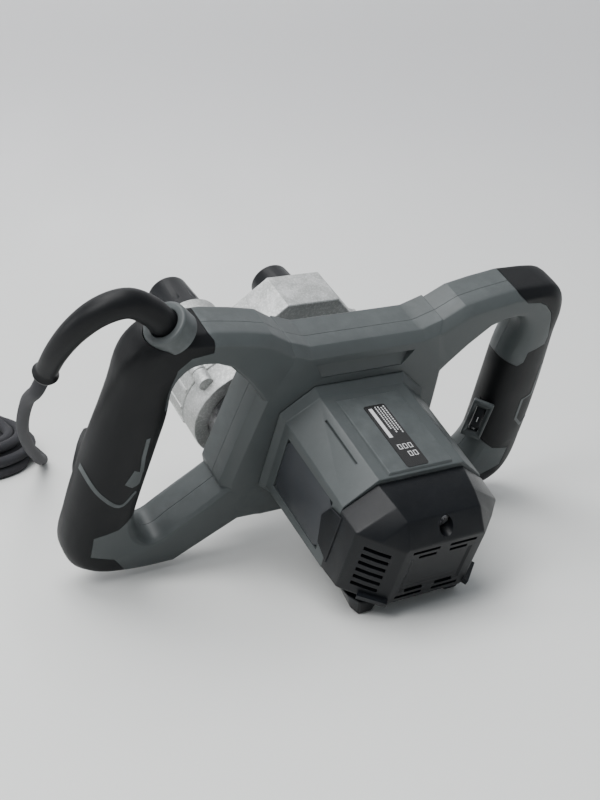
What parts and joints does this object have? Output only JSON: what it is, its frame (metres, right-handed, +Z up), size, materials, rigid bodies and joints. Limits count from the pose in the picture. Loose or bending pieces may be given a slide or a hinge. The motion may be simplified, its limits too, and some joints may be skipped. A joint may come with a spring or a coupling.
{
  "type": "dual-spindle hand mixer power unit",
  "caption": "Hand-held mortar mixer drive: D-shaped handles on a frame, motor with a black end cap, cast gearbox and counter-rotating paddle couplings, with cord and plug.",
  "frame": {"origin": "on the surface the machine lies on, under the middle of its bounding box without the cord", "axes": "+X from the left grip to the right grip as seen from the end cap, +Y from the end cap towards the couplings, +Z up"},
  "size_m": [0.4415, 0.5265, 0.2248],
  "materials": {
    "frame_grey": "fine moulded grain",
    "rubber_black": "soft grip texture",
    "cord_rubber": "matt",
    "plastic_black": "fine moulded grain",
    "button_red": "smooth",
    "label_film": "satin film",
    "aluminium_cast": "as cast",
    "plate_dark": "dark",
    "copper": "enamelled copper",
    "steel": "machined"
  },
  "bodies": {
    "machine": {"bend_sleeve": "rubber_black", "brush_holder_left": "plastic_black", "brush_holder_right": "plastic_black", "carbon_brush_left": "plate_dark", "carbon_brush_right": "plate_dark", "cord": "cord_rubber", "cord_coil": "cord_rubber", "cord_gland_ring": "frame_grey", "end_cap": "plastic_black", "end_cap_screw_lower": "steel", "end_cap_screw_upper": "steel", "field_winding_left": "copper", "field_winding_right": "copper", "frame_gear_side": "frame_grey", "frame_motor_side": "frame_grey", "frame_screw_1": "steel", "frame_screw_2": "steel", "frame_screw_3": "steel", "frame_screw_4": "steel", "front_bearing": "steel", "gear_case_inner": "aluminium_cast", "gear_case_outer": "aluminium_cast", "gear_case_screw_1": "steel", "gear_case_screw_2": "steel", "gear_case_screw_3": "steel", "gear_case_screw_4": "steel", "gearbox_mount_plate": "plate_dark", "grip_cover_left": "rubber_black", "grip_cover_right": "rubber_black", "idler_pin": "steel", "motor_housing": "frame_grey", "plug": "plastic_black", "rating_label": "label_film", "rear_bearing": "steel", "rear_bearing_bracket": "aluminium_cast", "side_panel_left": "plastic_black", "side_panel_right": "plastic_black", "speed_module": "plastic_black", "speed_wheel_bezel": "frame_grey", "spindle_bearing_left": "steel", "spindle_bearing_right": "steel", "stator_core": "plate_dark", "switch_module": "plastic_black"},
    "spindle_right": {"spindle_right": "steel", "output_gear_right": "steel"},
    "spindle_left": {"spindle_left": "steel", "output_gear_left": "steel"},
    "sleeve_right": {"coupling_sleeve_right": "plastic_black"},
    "sleeve_left": {"coupling_sleeve_left": "plastic_black"},
    "intermediate": {"intermediate_shaft": "steel", "intermediate_wheel": "steel"},
    "idler": {"idler_gear": "steel"},
    "armature": {"armature_shaft": "steel", "armature_core": "plate_dark", "commutator": "copper", "cooling_fan": "plastic_black", "motor_pinion": "steel"},
    "trigger": {"trigger": "plastic_black"},
    "lock_button": {"lock_button": "button_red"},
    "speed_wheel": {"speed_wheel": "plastic_black"}
  },
  "joints": [
    {"name": "spindle_right_spin", "type": "hinge", "parent": "machine", "child": "spindle_right", "pos_m": [0.046, 0.0834, 0.13373], "axis": [0, 0.8929, 0.4503], "continuous": true},
    {"name": "spindle_left_spin", "type": "hinge", "parent": "machine", "child": "spindle_left", "pos_m": [-0.046, 0.0834, 0.13373], "axis": [0, 0.8929, 0.4503], "continuous": true},
    {"name": "intermediate_spin", "type": "hinge", "parent": "machine", "child": "intermediate", "pos_m": [0.01805, 0.02792, 0.1438], "axis": [0, 0.8929, 0.4503], "continuous": true},
    {"name": "idler_spin", "type": "hinge", "parent": "machine", "child": "idler", "pos_m": [-0.01107, 0.0345, 0.15519], "axis": [0, 0.8929, 0.4503], "continuous": true},
    {"name": "armature_spin", "type": "hinge", "parent": "machine", "child": "armature", "pos_m": [0, -0.03, 0.0921], "axis": [0, 0.8929, 0.4503], "continuous": true},
    {"name": "sleeve_right_slide", "type": "slide", "parent": "spindle_right", "child": "sleeve_right", "axis": [0, -0.8929, -0.4503], "range_m": [0, 0.006], "stiffness_N_per_m": 1500},
    {"name": "sleeve_left_slide", "type": "slide", "parent": "spindle_left", "child": "sleeve_left", "axis": [0, -0.8929, -0.4503], "range_m": [0, 0.006], "stiffness_N_per_m": 1500},
    {"name": "trigger_pull", "type": "hinge", "parent": "machine", "child": "trigger", "pos_m": [-0.164, -0.00906, 0.1161], "axis": [-1, 0, 0], "range_deg": [0, 7], "stiffness_Nm_per_rad": 2},
    {"name": "lock_button_press", "type": "slide", "parent": "machine", "child": "lock_button", "axis": [0, -0.8929, -0.4503], "range_m": [0, 0.003], "stiffness_N_per_m": 1500},
    {"name": "speed_wheel_turn", "type": "hinge", "parent": "machine", "child": "speed_wheel", "pos_m": [0.14436, -0.00683, 0.07915], "axis": [0.7071, -0.6314, -0.3184], "range_deg": [-140, 140]}
  ],
  "couplings": [
    {"joint": "spindle_left_spin", "follows": "spindle_right_spin", "ratio": -1},
    {"joint": "intermediate_spin", "follows": "spindle_right_spin", "ratio": -3.4},
    {"joint": "idler_spin", "follows": "spindle_right_spin", "ratio": 1.7},
    {"joint": "armature_spin", "follows": "spindle_right_spin", "ratio": 14.96}
  ]
}
